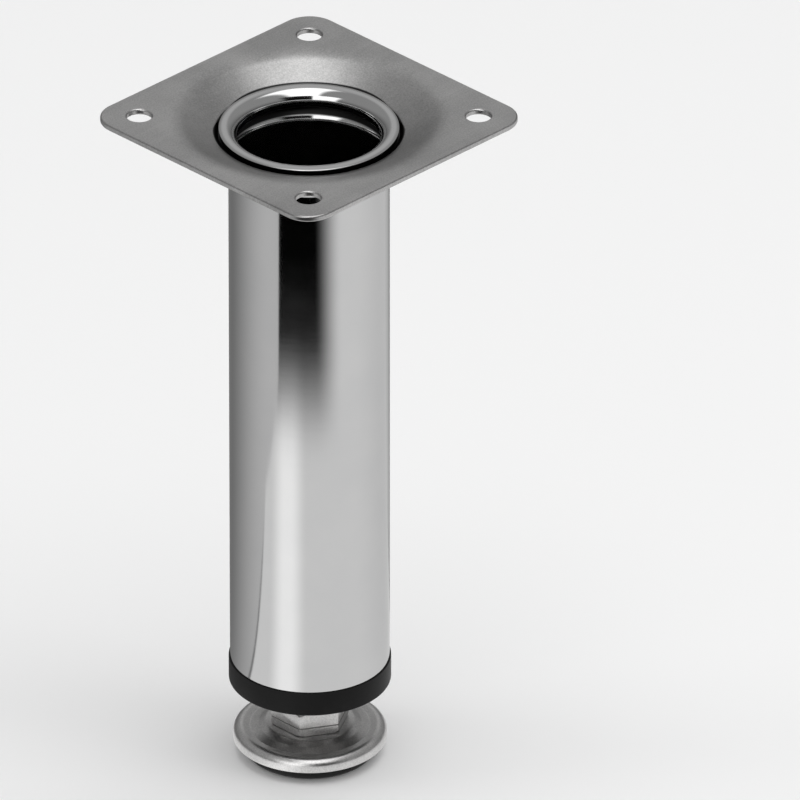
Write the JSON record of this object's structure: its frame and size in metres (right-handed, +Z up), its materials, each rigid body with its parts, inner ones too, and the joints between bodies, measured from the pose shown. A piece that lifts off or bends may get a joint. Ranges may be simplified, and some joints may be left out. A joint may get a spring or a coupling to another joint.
{
  "type": "adjustable cabinet leg",
  "caption": "Chromed cabinet leg: square screw plate, round tube held by its own rolled rim, black end plug, and a levelling foot that screws in and out.",
  "frame": {"origin": "bottom centre of the foot's glide pad, where the leg stands on the floor", "axes": "+Z up along the tube towards the mounting plate, X and Y parallel to the plate's sides"},
  "size_m": [0.058, 0.058, 0.1356],
  "materials": {
    "plate_steel": "satin plated, fine grain",
    "tube_chrome": "bright plated",
    "plug_plastic": "black, lightly textured",
    "zinc_steel": "zinc plated, fine grain",
    "pad_plastic": "black, matt"
  },
  "bodies": {
    "leg": {"mounting_plate": "plate_steel", "leg_tube": "tube_chrome", "end_plug": "plug_plastic", "insert_nut": "zinc_steel"},
    "foot": {"foot_disc": "zinc_steel", "foot_pad": "pad_plastic"},
    "stud": {"foot_stud": "zinc_steel"}
  },
  "joints": [
    {"name": "height_adjust", "type": "slide", "parent": "leg", "child": "foot", "axis": [0, 0, -1], "range_m": [-0.004, 0.004]},
    {"name": "stud_turn", "type": "hinge", "parent": "foot", "child": "stud", "pos_m": [0, 0, 0.01], "axis": [0, 0, -1], "range_deg": [-960, 960]}
  ],
  "couplings": [
    {"joint": "stud_turn", "follows": "height_adjust", "rad_per_m": 4188.8}
  ]
}
